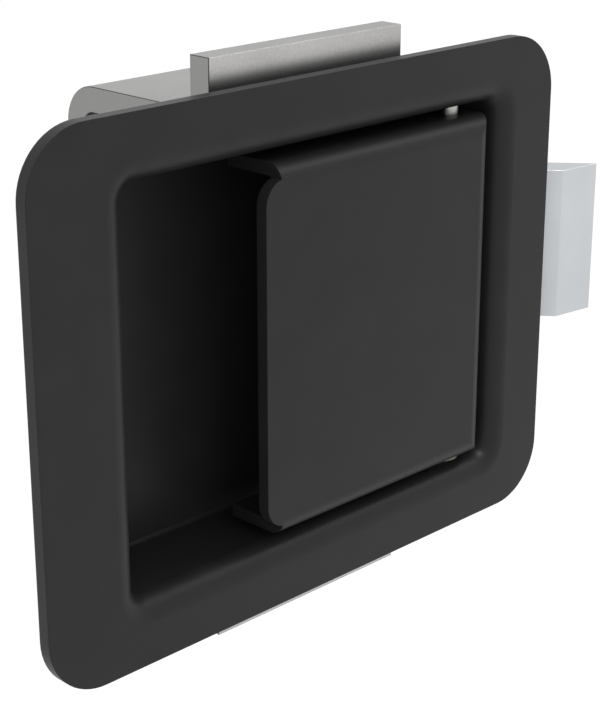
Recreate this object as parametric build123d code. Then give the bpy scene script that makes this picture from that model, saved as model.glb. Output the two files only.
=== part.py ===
from build123d import *
import os
from math import cos, pi, radians, sin, sqrt, tan

# Flush push-to-close paddle latch, sizes in millimetres.
# Origin: centre of the pressed plate, on its back face, where it lies on the door panel.
# +X points to the latch bolt, +Y goes through the panel into the door, +Z is up.

# Sheet of the pan and the paddle
SHEET = 2.66

# Pan: the plate that shows, and the pocket pressed into it
PLATE_WIDTH = 139.7
PLATE_RIM_HEIGHT = 13.1
PLATE_CORNER_RADIUS = 12.7
POCKET_CENTRE_X = 2.54
POCKET_WIDTH = 101.6
POCKET_HEIGHT = 80.0
POCKET_FLOOR_Y = 18.3
POCKET_WALL_CORNER_RADIUS = 3.0
POCKET_END_RADIUS = 9.0
POCKET_SIDE_RADIUS = 0.8
LIP_RADIUS = 4.7

# Paddle: a folded plate that turns on the hinge pin
PADDLE_FRONT_Y = -3.76
PADDLE_LEFT_X = -16.3
PADDLE_RIGHT_X = 49.5
PADDLE_SIDE_GAP = 2.0
PADDLE_DEPTH = 15.0
PADDLE_BEND_RADIUS = 4.0
PADDLE_GRIP_REACH = 4.24
PADDLE_GRIP_RADIUS = 5.0
PADDLE_RETURN_LENGTH = 4.3
EAR_CORNER_RADIUS = 5.0
PADDLE_OPEN_DEGREES = 32.0

# Hinge pin and its clip
PIN_X = 44.1
PIN_Y = 4.1
PIN_RADIUS = 2.0
PIN_PROUD = 1.0
PIN_CHAMFER = 0.4
CLIP_THICKNESS = 0.8
CLIP_OUTER_RADIUS = 4.2
CLIP_GROOVE_DEPTH = 0.4

# Drive lever welded inside the paddle, and the pin across its arms
LEVER_SHEET = 2.5
LEVER_HALF_WIDTH = 8.5
LEVER_ARM_RADIUS = 3.5
LEVER_REACH = 21.5
LEVER_BASE_LEFT_X = 26.0
LEVER_BASE_RIGHT_X = 45.2
LEVER_GUSSET_HEIGHT = 7.6
DRIVE_PIN_TENON_RADIUS = 2.2

# Latch bolt: a flat shank with a nose that is turned forward
BOLT_TAIL_X = 20.0
BOLT_THICKNESS = 8.9
BOLT_NOSE_HEIGHT = 35.3
BOLT_SHANK_HEIGHT = 38.0
BOLT_SHOULDER_X = 58.0
BOLT_HEEL_X = 87.8
BOLT_HEEL_Y = 6.29
BOLT_FACE_LENGTH = 11.2
BOLT_FACE_DEGREES = 7.4
BOLT_NOSE_DEGREES = 49.5
BOLT_KNEE_RADIUS = 2.0
BOLT_EDGE_RADIUS = 0.15
BOLT_SLOT_RIGHT_X = 64.0
BOLT_SLAM_TRAVEL = 11.5

# Release slide: the plate that the lever pushes and that carries the bolt back
SLIDE_SHEET = 2.0
SLIDE_LEFT_X = 6.0
SLIDE_RIGHT_X = 56.0
SLIDE_HEIGHT = 36.8
SLIDE_TAB_HEIGHT = 10.4
SLIDE_TAB_TIP_Y = 22.2
SLIDE_BEND_RADIUS = 0.6

# Housing: a hat channel riveted to the back of the pan
HOUSING_SHEET = 1.6
HOUSING_BEND_RADIUS = 0.8
HOUSING_LEFT_X = -21.0
HOUSING_RIGHT_X = 68.0
HOUSING_FLANGE_RIGHT_X = 43.3
HOUSING_FLANGE_HEIGHT = 57.0

# Rivets that hold the housing, and rivets that hold the bolt guides
HOUSING_RIVET_XS = (10.0, 38.0)
HOUSING_RIVET_Z = 24.9
HOUSING_RIVET_RADIUS = 1.6
RIVET_HEAD_RADIUS = 3.2
RIVET_HEAD_HEIGHT = 1.4
RIVET_TAIL_RADIUS = 2.6
GUIDE_RIVET_YS = (24.4, 29.4)
GUIDE_RIVET_RADIUS = 1.0
GUIDE_RIVET_HEAD_RADIUS = 1.9
GUIDE_RIVET_HEAD_HEIGHT = 0.8
GUIDE_RIVET_EDGE_RADIUS = 0.5
GUIDE_RIVET_SET_BACK = 0.2

# Bolt springs and the rods inside them
ROD_RADIUS = 1.8
ROD_TENON_RADIUS = 1.4
ROD_TIP_X = 26.0
ROD_Z = 14.1
ROD_HEAD_RADIUS = 2.5
ROD_HEAD_HEIGHT = 0.9
BOLT_SPRING_WIRE = 0.9
BOLT_SPRING_TURNS = 12
SPRING_END_GAP = 0.5

# Slide spring, which shuts the slide and the paddle, its rod and the button on the slide
SLIDE_SPRING_WIRE = 1.1
SLIDE_SPRING_TURNS = 8
STUB_TIP_X = -9.8
BUTTON_LENGTH = 3.0

# Rubber bumpers that the paddle closes on
BUMPER_X = 14.0
BUMPER_RADIUS = 3.3
BUMPER_STEM_RADIUS = 2.0
BUMPER_BARB_RADIUS = 2.8
BUMPER_BARB_LENGTH = 1.9
BUMPER_EDGE_RADIUS = 0.6

# Clamp bracket behind the panel, with its studs, washers and nuts
PANEL_GAP = 3.7
BRACKET_SHEET = 5.16
BRACKET_WIDTH = 51.7
BRACKET_DEPTH = 41.9
BRACKET_FOOT = 10.03
BRACKET_BEND_RADIUS = 2.84
BRACKET_EDGE = 0.15
STUD_RADIUS = 3.0
STUD_INSET = 9.06
STUD_END_Y = 54.6
STUD_CHAMFER = 0.8
STUD_WELD_RADIUS = 4.0
STUD_WELD_HEIGHT = 0.8
WASHER_RADIUS = 6.0
WASHER_THICKNESS = 1.6
NUT_ACROSS_FLATS = 10.0
NUT_HEIGHT = 5.0

# Clearances
RUNNING = 0.05
SLIDING = 0.3
GUIDE_PLAY = 0.2
REST_GAP = 0.3
HOLE_PLAY = 0.3
WALL_PLAY = 0.1
BRACKET_PLAY = 0.5
SHAKE = 0.6

# How near counts as the same place when an edge or a corner is looked for
NEAR = 0.01

# Worked out from the values above
FRONT_Y = -SHEET
PLATE_HEIGHT = POCKET_HEIGHT + 2 * PLATE_RIM_HEIGHT
PADDLE_HEIGHT = POCKET_HEIGHT - 2 * PADDLE_SIDE_GAP
CUP_START_Y = -3 * LIP_RADIUS
POCKET_BACK_Y = POCKET_FLOOR_Y + SHEET
POCKET_HALF = POCKET_HEIGHT / 2
WALL_OUTER_Z = POCKET_HALF + SHEET
PADDLE_HALF = PADDLE_HEIGHT / 2
PADDLE_INNER_Y = PADDLE_FRONT_Y + SHEET
PADDLE_BACK_Y = PADDLE_FRONT_Y + PADDLE_DEPTH
PADDLE_EAR_LEFT_X = PADDLE_LEFT_X + PADDLE_GRIP_REACH
DRIVE_PIN_Y = PIN_Y + LEVER_REACH
ARM_INNER_Z = LEVER_HALF_WIDTH - LEVER_SHEET
SLOT_HALF = LEVER_HALF_WIDTH + SHAKE
BOLT_FRONT_Y = POCKET_BACK_Y + SLIDING
BOLT_BACK_Y = BOLT_FRONT_Y + BOLT_THICKNESS
BOLT_MID_Y = (BOLT_FRONT_Y + BOLT_BACK_Y) / 2
SHANK_HALF = BOLT_SHANK_HEIGHT / 2
NOSE_HALF = BOLT_NOSE_HEIGHT / 2
SLIDE_FRONT_Y = BOLT_BACK_Y + SLIDING
SLIDE_BACK_Y = SLIDE_FRONT_Y + SLIDE_SHEET
TAB_RIGHT_X = PIN_X - LEVER_ARM_RADIUS - REST_GAP
TAB_LEFT_X = TAB_RIGHT_X - SLIDE_SHEET
BOLT_SLOT_LEFT_X = TAB_LEFT_X - REST_GAP
HOUSING_WEB_Y = SLIDE_BACK_Y + SLIDING
HOUSING_INNER_Z = SHANK_HALF + SLIDING
HOUSING_OUTER_Z = HOUSING_INNER_Z + HOUSING_SHEET
HOUSING_END_X = HOUSING_LEFT_X + HOUSING_SHEET
RELEASE_TRAVEL = LEVER_REACH * radians(PADDLE_OPEN_DEGREES)
FULL_TRAVEL = RELEASE_TRAVEL + BOLT_SLAM_TRAVEL
GUIDE_LEFT_X = BOLT_SHOULDER_X + REST_GAP
GUIDE_X = (GUIDE_LEFT_X + HOUSING_RIGHT_X) / 2
BRACKET_LEFT_X = POCKET_CENTRE_X - BRACKET_WIDTH / 2
BRACKET_INNER_Z = WALL_OUTER_Z + BRACKET_PLAY
BRACKET_END_Z = BRACKET_INNER_Z + BRACKET_SHEET + BRACKET_FOOT
BRACKET_BACK_Y = PANEL_GAP + BRACKET_DEPTH
STUD_Z = WALL_OUTER_Z - STUD_INSET
WASHER_BACK_Y = BRACKET_BACK_Y + WASHER_THICKNESS
CLIP_TOP_Z = -PADDLE_HALF - REST_GAP
BUMPER_Z = PADDLE_HALF - SHEET / 2 - SHAKE

os.makedirs("parts", exist_ok=True)


def save(name, shape):
    """Write one sub-part, its solids kept apart."""
    solids = shape.solids()
    whole = solids[0] if len(solids) == 1 else Compound(children=solids)
    export_step(whole, f"parts/{name}.step")


def block(x0, x1, y0, y1, z0, z1):
    """A plain block between two corners."""
    return Pos((x0 + x1) / 2, (y0 + y1) / 2, (z0 + z1) / 2) * Box(x1 - x0, y1 - y0, z1 - z0)


def across(outline, y0, y1):
    """An outline drawn as (x, z), made solid from y0 to y1."""
    plane = Plane(origin=(0, y1, 0), x_dir=(1, 0, 0), z_dir=(0, -1, 0))
    return extrude(plane * outline, amount=y1 - y0)


def upright(outline, z0, z1):
    """An outline drawn as (x, y), made solid from z0 to z1."""
    return extrude(Plane.XY.offset(z0) * outline, amount=z1 - z0)


def along(outline, x0, x1):
    """An outline drawn as (y, z), made solid from x0 to x1."""
    plane = Plane(origin=(x0, 0, 0), x_dir=(0, 1, 0), z_dir=(1, 0, 0))
    return extrude(plane * outline, amount=x1 - x0)


def disc_y(x, z, radius, y0, y1):
    """A round bar along Y."""
    return across(Pos(x, z) * Circle(radius), y0, y1)


def disc_z(x, y, radius, z0, z1):
    """A round bar along Z."""
    return upright(Pos(x, y) * Circle(radius), z0, z1)


def disc_x(y, z, radius, x0, x1):
    """A round bar along X."""
    return along(Pos(y, z) * Circle(radius), x0, x1)


def both_ends(shape):
    """The shape and its mirror image below the middle plane."""
    return shape + mirror(shape, about=Plane.XY)


def folded(points, thickness, inner_radius):
    """The outline of a folded strip: its middle line with round bends, given its thickness."""
    line = FilletPolyline(*points, radius=inner_radius + thickness / 2)
    return trace(line, line_width=thickness)


def cup(grow):
    """The pocket's hollow, or with grow set to the sheet its outside."""
    width = POCKET_WIDTH + 2 * grow
    height = POCKET_HEIGHT + 2 * grow
    floor_y = POCKET_FLOOR_Y + grow
    depth = floor_y - CUP_START_Y
    plan = Pos(POCKET_CENTRE_X, floor_y - depth / 2) * Rectangle(width, depth)
    plan = fillet(plan.vertices().group_by(Axis.Y)[-1], POCKET_END_RADIUS + grow)
    section = Pos(floor_y - depth / 2, 0) * Rectangle(depth, height)
    section = fillet(section.vertices().group_by(Axis.X)[-1], POCKET_SIDE_RADIUS + grow)
    front = Pos(POCKET_CENTRE_X, 0) * RectangleRounded(width, height, POCKET_WALL_CORNER_RADIUS + grow)
    body = upright(plan, -height, height) & along(section, -PLATE_WIDTH, PLATE_WIDTH)
    return body & across(front, CUP_START_Y, floor_y)


def rim_edges(shape, y, half_width, half_height):
    """The edges of the shape that lie on the plane y, within the pocket's outline."""
    found = ShapeList()
    for edge in shape.edges():
        box = edge.bounding_box()
        flat = abs(box.min.Y - y) < NEAR and abs(box.max.Y - y) < NEAR
        centre = edge.center()
        in_width = abs(centre.X - POCKET_CENTRE_X) < half_width + NEAR
        inside = in_width and abs(centre.Z) < half_height + NEAR
        if flat and inside:
            found.append(edge)
    return found


def lever_window():
    """The way through the pan's floor for the lever's arms, which stop on its left end when open."""
    opened = radians(PADDLE_OPEN_DEGREES)
    arm_left = PIN_X - tan(opened) * (POCKET_BACK_Y - PIN_Y) - LEVER_ARM_RADIUS / cos(opened)
    left_x = arm_left - REST_GAP
    right_x = PIN_X + LEVER_ARM_RADIUS + SHAKE
    return block(left_x, right_x, PIN_Y + LEVER_ARM_RADIUS, POCKET_BACK_Y + 1, -SLOT_HALF, SLOT_HALF)


# Pan
def make_pan():
    plate = across(RectangleRounded(PLATE_WIDTH, PLATE_HEIGHT, PLATE_CORNER_RADIUS), FRONT_Y, 0)
    behind = block(-PLATE_WIDTH, PLATE_WIDTH, FRONT_Y, POCKET_BACK_Y, -PLATE_HEIGHT, PLATE_HEIGHT)
    pan = plate + (cup(SHEET) & behind)
    half_width = POCKET_WIDTH / 2 + SHEET
    pan = fillet(rim_edges(pan, 0, half_width, WALL_OUTER_Z), LIP_RADIUS - SHEET)
    pan -= cup(0)
    pan = fillet(rim_edges(pan, FRONT_Y, POCKET_WIDTH / 2, POCKET_HALF), LIP_RADIUS)
    pan -= lever_window()
    pan -= disc_z(PIN_X, PIN_Y, PIN_RADIUS + RUNNING, -PLATE_HEIGHT / 2, PLATE_HEIGHT / 2)
    for x in HOUSING_RIVET_XS:
        pan -= both_ends(disc_y(x, HOUSING_RIVET_Z, HOUSING_RIVET_RADIUS, 0, POCKET_BACK_Y + 1))
    pan -= both_ends(disc_y(BUMPER_X, BUMPER_Z, BUMPER_STEM_RADIUS, 0, POCKET_BACK_Y + 1))
    return pan


# Paddle
def rounded_block(left_x, right_x, front_y, back_y, half_height, radius, corner_radius):
    """A block rounded by radius along its front edges but the left one, and by corner_radius at the back
    of its right end."""
    middle_x = (left_x + right_x) / 2
    middle_y = (front_y + back_y) / 2
    plan = Pos(middle_x, middle_y) * Rectangle(right_x - left_x, back_y - front_y)
    plan = fillet(plan.vertices().group_by(Axis.Y)[-1].sort_by(Axis.X)[-1], corner_radius)
    plan = fillet(plan.vertices().group_by(Axis.Y)[0].sort_by(Axis.X)[-1], radius)
    section = Pos(middle_y, 0) * Rectangle(back_y - front_y, 2 * half_height)
    section = fillet(section.vertices().group_by(Axis.X)[0], radius)
    return upright(plan, -half_height, half_height) & along(section, left_x, right_x)


def make_paddle():
    inner_radius = PADDLE_BEND_RADIUS - SHEET
    inner_half = PADDLE_HALF - SHEET
    inner_right_x = PADDLE_RIGHT_X - SHEET
    outside = rounded_block(
        PADDLE_EAR_LEFT_X,
        PADDLE_RIGHT_X,
        PADDLE_FRONT_Y,
        PADDLE_BACK_Y,
        PADDLE_HALF,
        PADDLE_BEND_RADIUS,
        EAR_CORNER_RADIUS,
    )
    inside = rounded_block(
        PADDLE_EAR_LEFT_X - 1,
        inner_right_x,
        PADDLE_INNER_Y,
        PADDLE_BACK_Y + 1,
        inner_half,
        inner_radius,
        inner_radius,
    )
    behind_return = block(
        inner_right_x - inner_radius,
        PADDLE_RIGHT_X + 1,
        PADDLE_FRONT_Y + PADDLE_RETURN_LENGTH,
        PADDLE_BACK_Y + 1,
        -inner_half,
        inner_half,
    )
    grip_width = 2 * PADDLE_GRIP_RADIUS
    grip = Pos(PADDLE_LEFT_X + PADDLE_GRIP_RADIUS, 0) * Rectangle(grip_width, 2 * inner_half)
    grip = fillet(grip.vertices().group_by(Axis.X)[0], PADDLE_GRIP_RADIUS)
    grip &= Pos(PADDLE_EAR_LEFT_X - PADDLE_GRIP_RADIUS, 0) * Rectangle(grip_width, PADDLE_HEIGHT)
    paddle = outside - inside - behind_return + across(grip, PADDLE_FRONT_Y, PADDLE_INNER_Y)
    paddle -= disc_z(PIN_X, PIN_Y, PIN_RADIUS + RUNNING, -PADDLE_HALF, PADDLE_HALF)
    return paddle


# Drive lever
def make_lever():
    base = block(
        LEVER_BASE_LEFT_X,
        LEVER_BASE_RIGHT_X,
        PADDLE_INNER_Y,
        PADDLE_INNER_Y + LEVER_SHEET,
        -LEVER_HALF_WIDTH,
        LEVER_HALF_WIDTH,
    )
    gusset = Polygon(
        (LEVER_BASE_LEFT_X, PADDLE_INNER_Y),
        (LEVER_BASE_RIGHT_X, PADDLE_INNER_Y),
        (LEVER_BASE_RIGHT_X, PIN_Y),
        (PIN_X - LEVER_ARM_RADIUS, PIN_Y + LEVER_GUSSET_HEIGHT),
        (LEVER_BASE_LEFT_X, PADDLE_INNER_Y + LEVER_SHEET),
        align=None,
    )
    bar_y = (PIN_Y + DRIVE_PIN_Y) / 2
    arm = Pos(PIN_X, bar_y) * Rectangle(2 * LEVER_ARM_RADIUS, LEVER_REACH)
    arm += Pos(PIN_X, PIN_Y) * Circle(LEVER_ARM_RADIUS)
    arm += Pos(PIN_X, DRIVE_PIN_Y) * Circle(LEVER_ARM_RADIUS)
    arm += gusset
    lever = base + both_ends(upright(arm, ARM_INNER_Z, LEVER_HALF_WIDTH))
    lever -= disc_z(PIN_X, PIN_Y, PIN_RADIUS + RUNNING, -PADDLE_HALF, PADDLE_HALF)
    lever -= disc_z(PIN_X, DRIVE_PIN_Y, DRIVE_PIN_TENON_RADIUS, -PADDLE_HALF, PADDLE_HALF)
    return lever


def make_drive_pin():
    shoulder_half = ARM_INNER_Z - WALL_PLAY
    shoulder = disc_z(PIN_X, DRIVE_PIN_Y, LEVER_ARM_RADIUS, -shoulder_half, shoulder_half)
    tenons = disc_z(PIN_X, DRIVE_PIN_Y, DRIVE_PIN_TENON_RADIUS, -LEVER_HALF_WIDTH, LEVER_HALF_WIDTH)
    return shoulder + tenons


# Hinge pin and clip
def make_hinge_pin():
    half_length = WALL_OUTER_Z + PIN_PROUD
    pin = disc_z(PIN_X, PIN_Y, PIN_RADIUS, -half_length, half_length)
    pin = chamfer(pin.edges().filter_by(GeomType.CIRCLE), PIN_CHAMFER)
    groove_bottom = CLIP_TOP_Z - CLIP_THICKNESS - WALL_PLAY
    groove = disc_z(PIN_X, PIN_Y, 2 * PIN_RADIUS, groove_bottom, CLIP_TOP_Z + WALL_PLAY)
    groove -= disc_z(PIN_X, PIN_Y, PIN_RADIUS - CLIP_GROOVE_DEPTH, -half_length, half_length)
    return pin - groove


def make_pin_clip():
    inner = PIN_RADIUS - CLIP_GROOVE_DEPTH + RUNNING
    ring = Circle(CLIP_OUTER_RADIUS) - Circle(inner)
    mouth = Pos(-CLIP_OUTER_RADIUS, 0) * Rectangle(2 * CLIP_OUTER_RADIUS, 2 * inner)
    relief = Sketch()
    for side in (60, -60):
        relief += Rot(0, 0, side) * (Pos((inner + CLIP_OUTER_RADIUS) / 2 - SHAKE, 0) * Circle(SHAKE))
    shape = Pos(PIN_X, PIN_Y) * (ring - mouth - relief)
    return upright(shape, CLIP_TOP_Z - CLIP_THICKNESS, CLIP_TOP_Z)


# Latch bolt
def make_bolt():
    face = radians(BOLT_FACE_DEGREES)
    nose = radians(BOLT_NOSE_DEGREES)
    tip_x = BOLT_HEEL_X + BOLT_FACE_LENGTH * cos(face)
    tip_y = BOLT_HEEL_Y - BOLT_FACE_LENGTH * sin(face)
    knee_front_x = BOLT_HEEL_X - (BOLT_FRONT_Y - BOLT_HEEL_Y) / tan(nose)
    knee_back_x = tip_x - (BOLT_BACK_Y - tip_y) / tan(nose)
    outline = Polygon(
        (BOLT_TAIL_X, BOLT_FRONT_Y),
        (knee_front_x, BOLT_FRONT_Y),
        (BOLT_HEEL_X, BOLT_HEEL_Y),
        (tip_x, tip_y),
        (knee_back_x, BOLT_BACK_Y),
        (BOLT_TAIL_X, BOLT_BACK_Y),
        align=None,
    )
    knee_xs = (knee_front_x, knee_back_x)
    knees = [v for v in outline.vertices() if min(abs(v.X - x) for x in knee_xs) < NEAR]
    outline = fillet(knees, BOLT_KNEE_RADIUS)
    corners = [v for v in outline.vertices() if v.X > BOLT_HEEL_X - NEAR]
    outline = fillet(corners, BOLT_EDGE_RADIUS)
    bolt = upright(outline, -NOSE_HALF, NOSE_HALF)
    ends = bolt.edges().group_by(Axis.Z)
    rims = [edge for edge in ends[0] + ends[-1] if edge.center().X > BOLT_SHOULDER_X]
    bolt = fillet(rims, BOLT_EDGE_RADIUS)
    bolt += block(BOLT_TAIL_X, BOLT_SHOULDER_X, BOLT_FRONT_Y, BOLT_BACK_Y, -SHANK_HALF, SHANK_HALF)
    slot = Pos((BOLT_SLOT_LEFT_X + BOLT_SLOT_RIGHT_X) / 2, 0) * RectangleRounded(
        BOLT_SLOT_RIGHT_X - BOLT_SLOT_LEFT_X, 2 * SLOT_HALF, SHAKE
    )
    bolt -= across(slot, BOLT_FRONT_Y - 1, BOLT_BACK_Y + 1)
    bore_end_x = ROD_TIP_X + FULL_TRAVEL + SHAKE
    bolt -= both_ends(disc_x(BOLT_MID_Y, ROD_Z, ROD_RADIUS + HOLE_PLAY, BOLT_TAIL_X - 1, bore_end_x))
    return bolt


# Release slide
def make_slide():
    middle = (SLIDE_FRONT_Y + SLIDE_BACK_Y) / 2
    tab_x = (TAB_LEFT_X + TAB_RIGHT_X) / 2
    end_x = SLIDE_LEFT_X + SLIDE_SHEET / 2
    bent = folded(
        [(end_x, SLIDE_TAB_TIP_Y), (end_x, middle), (tab_x, middle), (tab_x, SLIDE_TAB_TIP_Y)],
        SLIDE_SHEET,
        SLIDE_BEND_RADIUS,
    )
    tab_half = SLIDE_TAB_HEIGHT / 2
    plate = Pos((SLIDE_LEFT_X + SLIDE_SHEET + SLIDE_BEND_RADIUS + SLIDE_RIGHT_X) / 2, 0) * RectangleRounded(
        SLIDE_RIGHT_X - SLIDE_LEFT_X - SLIDE_SHEET - SLIDE_BEND_RADIUS, SLIDE_HEIGHT, SLIDE_SHEET
    )
    slide = across(plate, SLIDE_FRONT_Y, SLIDE_BACK_Y)
    window_right = TAB_RIGHT_X + SLIDE_FRONT_Y - SLIDE_TAB_TIP_Y + SHAKE
    slide -= block(
        TAB_LEFT_X - SLIDE_BEND_RADIUS,
        window_right,
        SLIDE_FRONT_Y - 1,
        SLIDE_BACK_Y + 1,
        -tab_half - REST_GAP,
        tab_half + REST_GAP,
    )
    slide += upright(bent, -tab_half, tab_half)
    return slide - disc_x(BOLT_MID_Y, 0, ROD_TENON_RADIUS, SLIDE_LEFT_X - 1, SLIDE_LEFT_X + SLIDE_SHEET + 1)


# Housing
def make_housing():
    flange_y = POCKET_BACK_Y + HOUSING_SHEET / 2
    web_y = HOUSING_WEB_Y + HOUSING_SHEET / 2
    wall_z = HOUSING_INNER_Z + HOUSING_SHEET / 2
    flange_end = HOUSING_FLANGE_HEIGHT / 2
    section = folded(
        [
            (flange_y, flange_end),
            (flange_y, wall_z),
            (web_y, wall_z),
            (web_y, -wall_z),
            (flange_y, -wall_z),
            (flange_y, -flange_end),
        ],
        HOUSING_SHEET,
        HOUSING_BEND_RADIUS,
    )
    housing = along(section, HOUSING_LEFT_X, HOUSING_RIGHT_X)
    housing -= both_ends(
        block(
            HOUSING_FLANGE_RIGHT_X,
            HOUSING_RIGHT_X + 1,
            POCKET_BACK_Y - 1,
            POCKET_BACK_Y + HOUSING_SHEET + 2 * HOUSING_BEND_RADIUS,
            HOUSING_OUTER_Z,
            flange_end + 1,
        )
    )
    end_half = HOUSING_INNER_Z - HOUSING_BEND_RADIUS
    housing += block(HOUSING_LEFT_X, HOUSING_END_X, POCKET_BACK_Y, web_y, -end_half, end_half)
    for z in (-ROD_Z, 0, ROD_Z):
        housing -= disc_x(BOLT_MID_Y, z, ROD_TENON_RADIUS, HOUSING_LEFT_X - 1, HOUSING_END_X + 1)
    for x in HOUSING_RIVET_XS:
        hole = disc_y(x, HOUSING_RIVET_Z, HOUSING_RIVET_RADIUS, POCKET_BACK_Y - 1, BOLT_MID_Y)
        housing -= both_ends(hole)
    for y in GUIDE_RIVET_YS:
        housing -= disc_z(GUIDE_X, y, GUIDE_RIVET_RADIUS, -HOUSING_OUTER_Z - 1, HOUSING_OUTER_Z + 1)
    return housing


def domed(x, z, radius, height, y_seat, toward):
    """A low round rivet head on the plane y_seat, rising toward -1 or +1 along Y."""
    ball = (radius**2 + height**2) / (2 * height)
    centre_y = y_seat + toward * (height - ball)
    low, high = sorted((y_seat, y_seat + toward * ball))
    return (Pos(x, centre_y, z) * Sphere(ball)) & disc_y(x, z, 2 * radius, low, high)


def make_housing_rivets():
    rivets = []
    seat = POCKET_BACK_Y + HOUSING_SHEET
    for x in HOUSING_RIVET_XS:
        for z in (HOUSING_RIVET_Z, -HOUSING_RIVET_Z):
            shank = disc_y(x, z, HOUSING_RIVET_RADIUS, POCKET_FLOOR_Y, seat)
            head = domed(x, z, RIVET_HEAD_RADIUS, RIVET_HEAD_HEIGHT, POCKET_FLOOR_Y, -1)
            tail = domed(x, z, RIVET_TAIL_RADIUS, RIVET_HEAD_HEIGHT, seat, 1)
            rivets.append(shank + head + tail)
    return Compound(children=[r.solids()[0] for r in rivets])


def make_guides():
    inner = NOSE_HALF + GUIDE_PLAY
    guide = block(
        GUIDE_LEFT_X,
        HOUSING_RIGHT_X,
        BOLT_FRONT_Y,
        HOUSING_WEB_Y - HOUSING_BEND_RADIUS,
        inner,
        HOUSING_INNER_Z,
    )
    for y in GUIDE_RIVET_YS:
        guide -= disc_z(GUIDE_X, y, GUIDE_RIVET_RADIUS, 0, HOUSING_OUTER_Z)
    return both_ends(guide)


def make_guide_rivets():
    rivets = []
    inner = NOSE_HALF + GUIDE_PLAY + GUIDE_RIVET_SET_BACK
    for y in GUIDE_RIVET_YS:
        shank = disc_z(GUIDE_X, y, GUIDE_RIVET_RADIUS, inner, HOUSING_OUTER_Z)
        head = disc_z(
            GUIDE_X, y, GUIDE_RIVET_HEAD_RADIUS, HOUSING_OUTER_Z, HOUSING_OUTER_Z + GUIDE_RIVET_HEAD_HEIGHT
        )
        head = fillet(head.edges().group_by(Axis.Z)[-1], GUIDE_RIVET_EDGE_RADIUS)
        rivet = shank + head
        rivets += [rivet, mirror(rivet, about=Plane.XY)]
    return Compound(children=[r.solids()[0] for r in rivets])


# Spring rods
def make_rods():
    rod = disc_x(BOLT_MID_Y, ROD_Z, ROD_RADIUS, HOUSING_END_X, ROD_TIP_X)
    rod = chamfer(rod.edges().group_by(Axis.X)[-1], PIN_CHAMFER)
    rod += disc_x(BOLT_MID_Y, ROD_Z, ROD_TENON_RADIUS, HOUSING_LEFT_X, HOUSING_END_X)
    rod += disc_x(BOLT_MID_Y, ROD_Z, ROD_HEAD_RADIUS, HOUSING_LEFT_X - ROD_HEAD_HEIGHT, HOUSING_LEFT_X)
    return both_ends(rod)


def biarc(start, start_way, end, end_way):
    """Two arcs from start to end, smooth where they meet, along the given directions."""
    chord = end - start
    both = start_way + end_way
    spare = 4 - both.dot(both)
    reach = chord.dot(both)
    step = (-reach + sqrt(reach**2 + spare * chord.dot(chord))) / spare
    middle = (start + start_way * step + end - end_way * step) * 0.5
    first = TangentArc(start, middle, tangent=start_way)
    second = TangentArc(middle, end, tangent=first % 1)
    return [first, second]


def wound(place, way, turns):
    """Arcs along a coil, a quarter turn at a time."""
    arcs = []
    for quarter in range(4 * turns):
        a, b = 2 * pi * quarter / 4, 2 * pi * (quarter + 1) / 4
        arcs += biarc(place(a), way(a), place(b), way(b))
    return arcs


def least_gap(place, turns, wire):
    """Least gap of a coil to itself, measured on points."""
    steps = 24
    points = [place(2 * pi * i / steps) for i in range(turns * steps + 1)]
    least = None
    for i, here in enumerate(points):
        for there in points[i + steps // 2:]:
            gap = (there - here).length - wire
            least = gap if least is None else min(least, gap)
    return least


# Springs, each a round wire wound along X with its end turns closed up
def make_spring(name, z, wire, turns, start_x, end_x):
    radius = ROD_RADIUS + HOLE_PLAY + wire / 2 + WALL_PLAY
    first_x = start_x + wire / 2 + WALL_PLAY
    last_x = end_x - wire / 2 - WALL_PLAY
    whole = 2 * pi * turns
    end_pitch = wire + SPRING_END_GAP
    end_rise = end_pitch / (2 * pi)
    middle_rise = (last_x - first_x - 2 * end_pitch) / (whole - 4 * pi)

    def advance(angle):
        if angle < 2 * pi:
            return first_x + end_rise * angle, end_rise
        if angle > whole - 2 * pi:
            return last_x - end_rise * (whole - angle), end_rise
        return first_x + end_pitch + middle_rise * (angle - 2 * pi), middle_rise

    def place(angle):
        return Vector(advance(angle)[0], BOLT_MID_Y + radius * cos(angle), z + radius * sin(angle))

    def way(angle):
        return Vector(advance(angle)[1], -radius * sin(angle), radius * cos(angle)).normalized()

    path = Wire(wound(place, way, turns))
    start = Plane(origin=place(0), z_dir=way(0))
    spring = sweep(start * Circle(wire / 2), path=path)
    print(name, "least gap to itself", round(least_gap(place, turns, wire), 3))
    print(name, "volume", round(spring.volume, 2), "as drawn wire", round(path.length * pi * wire**2 / 4, 2))
    return spring


# Slide spring, its rod and its seat
def make_stub():
    rod = disc_x(BOLT_MID_Y, 0, ROD_RADIUS, HOUSING_END_X, STUB_TIP_X)
    rod = chamfer(rod.edges().group_by(Axis.X)[-1], PIN_CHAMFER)
    rod += disc_x(BOLT_MID_Y, 0, ROD_TENON_RADIUS, HOUSING_LEFT_X, HOUSING_END_X)
    head_x = HOUSING_LEFT_X - ROD_HEAD_HEIGHT
    return rod + disc_x(BOLT_MID_Y, 0, ROD_HEAD_RADIUS, head_x, HOUSING_LEFT_X)


def make_button():
    button = disc_x(BOLT_MID_Y, 0, ROD_RADIUS, SLIDE_LEFT_X - BUTTON_LENGTH, SLIDE_LEFT_X)
    button = chamfer(button.edges().group_by(Axis.X)[0], PIN_CHAMFER)
    return button + disc_x(BOLT_MID_Y, 0, ROD_TENON_RADIUS, SLIDE_LEFT_X, SLIDE_LEFT_X + SLIDE_SHEET)


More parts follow.
